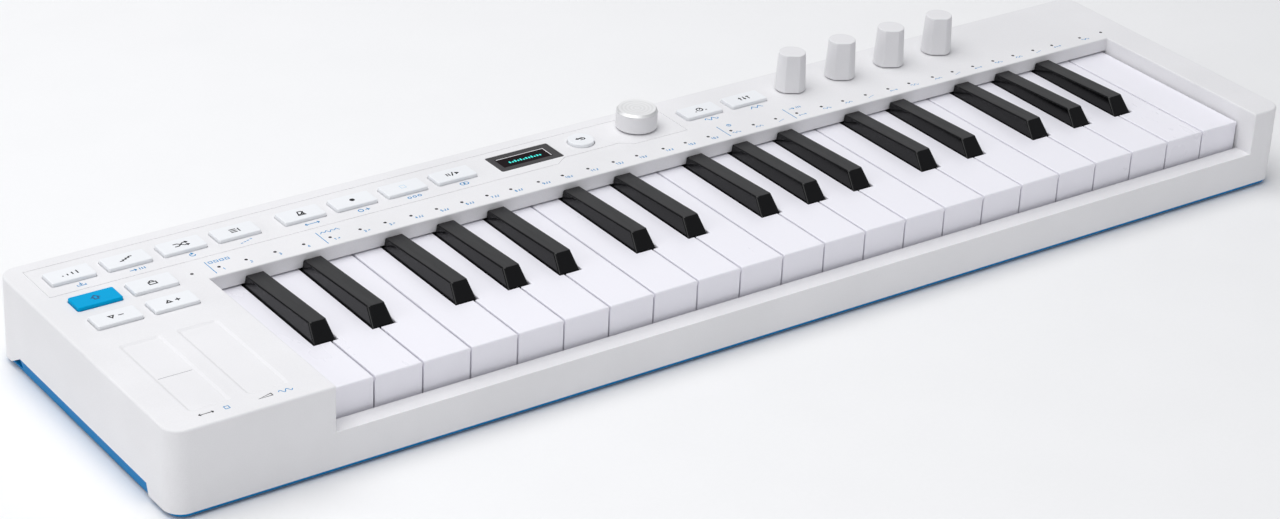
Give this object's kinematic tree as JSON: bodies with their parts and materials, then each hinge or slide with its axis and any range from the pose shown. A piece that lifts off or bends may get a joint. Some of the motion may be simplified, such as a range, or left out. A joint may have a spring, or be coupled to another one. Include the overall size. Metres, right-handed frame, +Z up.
{
  "type": "step-sequencing synthesizer keyboard",
  "caption": "Slim desktop synthesizer keyboard with piano keys in an open-fronted bay, touch strips, push buttons, display, encoder and tall knobs.",
  "frame": {"origin": "on the resting surface, under the middle of the body", "axes": "+X from the bass end to the treble end of the keyboard, +Y from the player to the rear sockets, +Z up"},
  "size_m": [0.587, 0.152, 0.0584],
  "materials": {
    "shell_white": "fine satin moulded ABS",
    "base_blue": "satin moulded ABS",
    "chassis_grey": "moulded ABS",
    "rod_steel": "ground steel rod",
    "contact_rubber": "silicone rubber",
    "board_green": "solder-masked glass-epoxy board",
    "display_black": "polished acrylic",
    "socket_black": "moulded housing with plated contacts",
    "foot_rubber": "matt rubber",
    "screw_steel": "black zinc-plated steel",
    "button_blue": "satin silicone cap",
    "button_white": "satin silicone cap",
    "knob_white": "satin soft-touch cap",
    "encoder_metal": "spun aluminium top over a satin skirt",
    "plunger_black": "moulded",
    "key_white": "satin gloss moulded ABS",
    "key_black": "finely textured moulded ABS"
  },
  "bodies": {
    "case": {"top_shell": "shell_white", "base_shell": "base_blue", "key_chassis": "chassis_grey", "key_pivot_rod": "rod_steel", "key_contact_strip": "contact_rubber", "circuit_boards": "board_green", "display_window": "display_black", "rear_sockets": "socket_black", "rubber_feet": "foot_rubber", "case_screws": "screw_steel"},
    "mode_buttons": {"mode_buttons": "button_white"},
    "transport_buttons": {"transport_buttons": "button_white"},
    "controller_buttons": {"controller_buttons": "button_white"},
    "shift_button": {"shift_button": "button_blue"},
    "hold_button": {"hold_button": "button_white"},
    "octave_buttons": {"octave_buttons": "button_white"},
    "back_button": {"back_button": "button_white"},
    "parameter_knob_1": {"parameter_knob_1": "knob_white"},
    "parameter_knob_2": {"parameter_knob_2": "knob_white"},
    "parameter_knob_3": {"parameter_knob_3": "knob_white"},
    "parameter_knob_4": {"parameter_knob_4": "knob_white"},
    "encoder_plunger": {"encoder_plunger": "plunger_black"},
    "encoder_knob": {"encoder_knob": "encoder_metal"},
    "white_key_01": {"white_key_01": "key_white"},
    "white_key_02": {"white_key_02": "key_white"},
    "white_key_03": {"white_key_03": "key_white"},
    "white_key_04": {"white_key_04": "key_white"},
    "white_key_05": {"white_key_05": "key_white"},
    "white_key_06": {"white_key_06": "key_white"},
    "white_key_07": {"white_key_07": "key_white"},
    "white_key_08": {"white_key_08": "key_white"},
    "white_key_09": {"white_key_09": "key_white"},
    "white_key_10": {"white_key_10": "key_white"},
    "white_key_11": {"white_key_11": "key_white"},
    "white_key_12": {"white_key_12": "key_white"},
    "white_key_13": {"white_key_13": "key_white"},
    "white_key_14": {"white_key_14": "key_white"},
    "white_key_15": {"white_key_15": "key_white"},
    "white_key_16": {"white_key_16": "key_white"},
    "white_key_17": {"white_key_17": "key_white"},
    "white_key_18": {"white_key_18": "key_white"},
    "white_key_19": {"white_key_19": "key_white"},
    "white_key_20": {"white_key_20": "key_white"},
    "white_key_21": {"white_key_21": "key_white"},
    "white_key_22": {"white_key_22": "key_white"},
    "black_key_01": {"black_key_01": "key_black"},
    "black_key_02": {"black_key_02": "key_black"},
    "black_key_03": {"black_key_03": "key_black"},
    "black_key_04": {"black_key_04": "key_black"},
    "black_key_05": {"black_key_05": "key_black"},
    "black_key_06": {"black_key_06": "key_black"},
    "black_key_07": {"black_key_07": "key_black"},
    "black_key_08": {"black_key_08": "key_black"},
    "black_key_09": {"black_key_09": "key_black"},
    "black_key_10": {"black_key_10": "key_black"},
    "black_key_11": {"black_key_11": "key_black"},
    "black_key_12": {"black_key_12": "key_black"},
    "black_key_13": {"black_key_13": "key_black"},
    "black_key_14": {"black_key_14": "key_black"},
    "black_key_15": {"black_key_15": "key_black"}
  },
  "joints": [
    {"name": "white_key_01_pivot", "type": "hinge", "parent": "case", "child": "white_key_01", "pos_m": [0, 0.052, 0.02], "axis": [1, 0, 0], "range_deg": [0, 3.4], "stiffness_Nm_per_rad": 0.3, "springref_deg": -8.59},
    {"name": "white_key_22_pivot", "type": "hinge", "parent": "case", "child": "white_key_22", "pos_m": [0, 0.052, 0.02], "axis": [1, 0, 0], "range_deg": [0, 3.4], "stiffness_Nm_per_rad": 0.3, "springref_deg": -8.59},
    {"name": "black_key_01_pivot", "type": "hinge", "parent": "case", "child": "black_key_01", "pos_m": [0, 0.052, 0.02], "axis": [1, 0, 0], "range_deg": [0, 3.4], "stiffness_Nm_per_rad": 0.3, "springref_deg": -8.59},
    {"name": "black_key_15_pivot", "type": "hinge", "parent": "case", "child": "black_key_15", "pos_m": [0, 0.052, 0.02], "axis": [1, 0, 0], "range_deg": [0, 3.4], "stiffness_Nm_per_rad": 0.3, "springref_deg": -8.59},
    {"name": "mode_buttons_travel", "type": "slide", "parent": "case", "child": "mode_buttons", "axis": [0, 0, -1], "range_m": [0, 0.0008], "stiffness_N_per_m": 1000, "springref_m": -0.0008},
    {"name": "transport_buttons_travel", "type": "slide", "parent": "case", "child": "transport_buttons", "axis": [0, 0, -1], "range_m": [0, 0.0008], "stiffness_N_per_m": 1000, "springref_m": -0.0008},
    {"name": "controller_buttons_travel", "type": "slide", "parent": "case", "child": "controller_buttons", "axis": [0, 0, -1], "range_m": [0, 0.0008], "stiffness_N_per_m": 1000, "springref_m": -0.0008},
    {"name": "shift_button_travel", "type": "slide", "parent": "case", "child": "shift_button", "axis": [0, 0, -1], "range_m": [0, 0.0008], "stiffness_N_per_m": 1000, "springref_m": -0.0008},
    {"name": "hold_button_travel", "type": "slide", "parent": "case", "child": "hold_button", "axis": [0, 0, -1], "range_m": [0, 0.0008], "stiffness_N_per_m": 1000, "springref_m": -0.0008},
    {"name": "octave_buttons_travel", "type": "slide", "parent": "case", "child": "octave_buttons", "axis": [0, 0, -1], "range_m": [0, 0.0008], "stiffness_N_per_m": 1000, "springref_m": -0.0008},
    {"name": "back_button_travel", "type": "slide", "parent": "case", "child": "back_button", "axis": [0, 0, -1], "range_m": [0, 0.0008], "stiffness_N_per_m": 1000, "springref_m": -0.0008},
    {"name": "parameter_knob_1_turn", "type": "hinge", "parent": "case", "child": "parameter_knob_1", "pos_m": [0.1013, 0.057, 0.05], "axis": [0, 0, -1], "range_deg": [0, 300]},
    {"name": "parameter_knob_2_turn", "type": "hinge", "parent": "case", "child": "parameter_knob_2", "pos_m": [0.13105, 0.057, 0.05], "axis": [0, 0, -1], "range_deg": [0, 300]},
    {"name": "parameter_knob_3_turn", "type": "hinge", "parent": "case", "child": "parameter_knob_3", "pos_m": [0.1608, 0.057, 0.05], "axis": [0, 0, -1], "range_deg": [0, 300]},
    {"name": "parameter_knob_4_turn", "type": "hinge", "parent": "case", "child": "parameter_knob_4", "pos_m": [0.19055, 0.057, 0.05], "axis": [0, 0, -1], "range_deg": [0, 300]},
    {"name": "encoder_push", "type": "slide", "parent": "case", "child": "encoder_plunger", "axis": [0, 0, -1], "range_m": [0, 0.0005], "stiffness_N_per_m": 2000, "springref_m": -0.0005},
    {"name": "encoder_turn", "type": "hinge", "parent": "encoder_plunger", "child": "encoder_knob", "pos_m": [0.0138, 0.0582, 0.045], "axis": [0, 0, 1], "continuous": true},
    {"name": "white_key_02_pivot", "type": "hinge", "parent": "case", "child": "white_key_02", "pos_m": [0, 0.052, 0.02], "axis": [1, 0, 0], "range_deg": [0, 3.4], "stiffness_Nm_per_rad": 0.3, "springref_deg": -8.59},
    {"name": "white_key_03_pivot", "type": "hinge", "parent": "case", "child": "white_key_03", "pos_m": [0, 0.052, 0.02], "axis": [1, 0, 0], "range_deg": [0, 3.4], "stiffness_Nm_per_rad": 0.3, "springref_deg": -8.59},
    {"name": "white_key_04_pivot", "type": "hinge", "parent": "case", "child": "white_key_04", "pos_m": [0, 0.052, 0.02], "axis": [1, 0, 0], "range_deg": [0, 3.4], "stiffness_Nm_per_rad": 0.3, "springref_deg": -8.59},
    {"name": "white_key_05_pivot", "type": "hinge", "parent": "case", "child": "white_key_05", "pos_m": [0, 0.052, 0.02], "axis": [1, 0, 0], "range_deg": [0, 3.4], "stiffness_Nm_per_rad": 0.3, "springref_deg": -8.59},
    {"name": "white_key_06_pivot", "type": "hinge", "parent": "case", "child": "white_key_06", "pos_m": [0, 0.052, 0.02], "axis": [1, 0, 0], "range_deg": [0, 3.4], "stiffness_Nm_per_rad": 0.3, "springref_deg": -8.59},
    {"name": "white_key_07_pivot", "type": "hinge", "parent": "case", "child": "white_key_07", "pos_m": [0, 0.052, 0.02], "axis": [1, 0, 0], "range_deg": [0, 3.4], "stiffness_Nm_per_rad": 0.3, "springref_deg": -8.59},
    {"name": "white_key_08_pivot", "type": "hinge", "parent": "case", "child": "white_key_08", "pos_m": [0, 0.052, 0.02], "axis": [1, 0, 0], "range_deg": [0, 3.4], "stiffness_Nm_per_rad": 0.3, "springref_deg": -8.59},
    {"name": "white_key_09_pivot", "type": "hinge", "parent": "case", "child": "white_key_09", "pos_m": [0, 0.052, 0.02], "axis": [1, 0, 0], "range_deg": [0, 3.4], "stiffness_Nm_per_rad": 0.3, "springref_deg": -8.59},
    {"name": "white_key_10_pivot", "type": "hinge", "parent": "case", "child": "white_key_10", "pos_m": [0, 0.052, 0.02], "axis": [1, 0, 0], "range_deg": [0, 3.4], "stiffness_Nm_per_rad": 0.3, "springref_deg": -8.59},
    {"name": "white_key_11_pivot", "type": "hinge", "parent": "case", "child": "white_key_11", "pos_m": [0, 0.052, 0.02], "axis": [1, 0, 0], "range_deg": [0, 3.4], "stiffness_Nm_per_rad": 0.3, "springref_deg": -8.59},
    {"name": "white_key_12_pivot", "type": "hinge", "parent": "case", "child": "white_key_12", "pos_m": [0, 0.052, 0.02], "axis": [1, 0, 0], "range_deg": [0, 3.4], "stiffness_Nm_per_rad": 0.3, "springref_deg": -8.59},
    {"name": "white_key_13_pivot", "type": "hinge", "parent": "case", "child": "white_key_13", "pos_m": [0, 0.052, 0.02], "axis": [1, 0, 0], "range_deg": [0, 3.4], "stiffness_Nm_per_rad": 0.3, "springref_deg": -8.59},
    {"name": "white_key_14_pivot", "type": "hinge", "parent": "case", "child": "white_key_14", "pos_m": [0, 0.052, 0.02], "axis": [1, 0, 0], "range_deg": [0, 3.4], "stiffness_Nm_per_rad": 0.3, "springref_deg": -8.59},
    {"name": "white_key_15_pivot", "type": "hinge", "parent": "case", "child": "white_key_15", "pos_m": [0, 0.052, 0.02], "axis": [1, 0, 0], "range_deg": [0, 3.4], "stiffness_Nm_per_rad": 0.3, "springref_deg": -8.59},
    {"name": "white_key_16_pivot", "type": "hinge", "parent": "case", "child": "white_key_16", "pos_m": [0, 0.052, 0.02], "axis": [1, 0, 0], "range_deg": [0, 3.4], "stiffness_Nm_per_rad": 0.3, "springref_deg": -8.59},
    {"name": "white_key_17_pivot", "type": "hinge", "parent": "case", "child": "white_key_17", "pos_m": [0, 0.052, 0.02], "axis": [1, 0, 0], "range_deg": [0, 3.4], "stiffness_Nm_per_rad": 0.3, "springref_deg": -8.59},
    {"name": "white_key_18_pivot", "type": "hinge", "parent": "case", "child": "white_key_18", "pos_m": [0, 0.052, 0.02], "axis": [1, 0, 0], "range_deg": [0, 3.4], "stiffness_Nm_per_rad": 0.3, "springref_deg": -8.59},
    {"name": "white_key_19_pivot", "type": "hinge", "parent": "case", "child": "white_key_19", "pos_m": [0, 0.052, 0.02], "axis": [1, 0, 0], "range_deg": [0, 3.4], "stiffness_Nm_per_rad": 0.3, "springref_deg": -8.59},
    {"name": "white_key_20_pivot", "type": "hinge", "parent": "case", "child": "white_key_20", "pos_m": [0, 0.052, 0.02], "axis": [1, 0, 0], "range_deg": [0, 3.4], "stiffness_Nm_per_rad": 0.3, "springref_deg": -8.59},
    {"name": "white_key_21_pivot", "type": "hinge", "parent": "case", "child": "white_key_21", "pos_m": [0, 0.052, 0.02], "axis": [1, 0, 0], "range_deg": [0, 3.4], "stiffness_Nm_per_rad": 0.3, "springref_deg": -8.59},
    {"name": "black_key_02_pivot", "type": "hinge", "parent": "case", "child": "black_key_02", "pos_m": [0, 0.052, 0.02], "axis": [1, 0, 0], "range_deg": [0, 3.4], "stiffness_Nm_per_rad": 0.3, "springref_deg": -8.59},
    {"name": "black_key_03_pivot", "type": "hinge", "parent": "case", "child": "black_key_03", "pos_m": [0, 0.052, 0.02], "axis": [1, 0, 0], "range_deg": [0, 3.4], "stiffness_Nm_per_rad": 0.3, "springref_deg": -8.59},
    {"name": "black_key_04_pivot", "type": "hinge", "parent": "case", "child": "black_key_04", "pos_m": [0, 0.052, 0.02], "axis": [1, 0, 0], "range_deg": [0, 3.4], "stiffness_Nm_per_rad": 0.3, "springref_deg": -8.59},
    {"name": "black_key_05_pivot", "type": "hinge", "parent": "case", "child": "black_key_05", "pos_m": [0, 0.052, 0.02], "axis": [1, 0, 0], "range_deg": [0, 3.4], "stiffness_Nm_per_rad": 0.3, "springref_deg": -8.59},
    {"name": "black_key_06_pivot", "type": "hinge", "parent": "case", "child": "black_key_06", "pos_m": [0, 0.052, 0.02], "axis": [1, 0, 0], "range_deg": [0, 3.4], "stiffness_Nm_per_rad": 0.3, "springref_deg": -8.59},
    {"name": "black_key_07_pivot", "type": "hinge", "parent": "case", "child": "black_key_07", "pos_m": [0, 0.052, 0.02], "axis": [1, 0, 0], "range_deg": [0, 3.4], "stiffness_Nm_per_rad": 0.3, "springref_deg": -8.59},
    {"name": "black_key_08_pivot", "type": "hinge", "parent": "case", "child": "black_key_08", "pos_m": [0, 0.052, 0.02], "axis": [1, 0, 0], "range_deg": [0, 3.4], "stiffness_Nm_per_rad": 0.3, "springref_deg": -8.59},
    {"name": "black_key_09_pivot", "type": "hinge", "parent": "case", "child": "black_key_09", "pos_m": [0, 0.052, 0.02], "axis": [1, 0, 0], "range_deg": [0, 3.4], "stiffness_Nm_per_rad": 0.3, "springref_deg": -8.59},
    {"name": "black_key_10_pivot", "type": "hinge", "parent": "case", "child": "black_key_10", "pos_m": [0, 0.052, 0.02], "axis": [1, 0, 0], "range_deg": [0, 3.4], "stiffness_Nm_per_rad": 0.3, "springref_deg": -8.59},
    {"name": "black_key_11_pivot", "type": "hinge", "parent": "case", "child": "black_key_11", "pos_m": [0, 0.052, 0.02], "axis": [1, 0, 0], "range_deg": [0, 3.4], "stiffness_Nm_per_rad": 0.3, "springref_deg": -8.59},
    {"name": "black_key_12_pivot", "type": "hinge", "parent": "case", "child": "black_key_12", "pos_m": [0, 0.052, 0.02], "axis": [1, 0, 0], "range_deg": [0, 3.4], "stiffness_Nm_per_rad": 0.3, "springref_deg": -8.59},
    {"name": "black_key_13_pivot", "type": "hinge", "parent": "case", "child": "black_key_13", "pos_m": [0, 0.052, 0.02], "axis": [1, 0, 0], "range_deg": [0, 3.4], "stiffness_Nm_per_rad": 0.3, "springref_deg": -8.59},
    {"name": "black_key_14_pivot", "type": "hinge", "parent": "case", "child": "black_key_14", "pos_m": [0, 0.052, 0.02], "axis": [1, 0, 0], "range_deg": [0, 3.4], "stiffness_Nm_per_rad": 0.3, "springref_deg": -8.59}
  ]
}
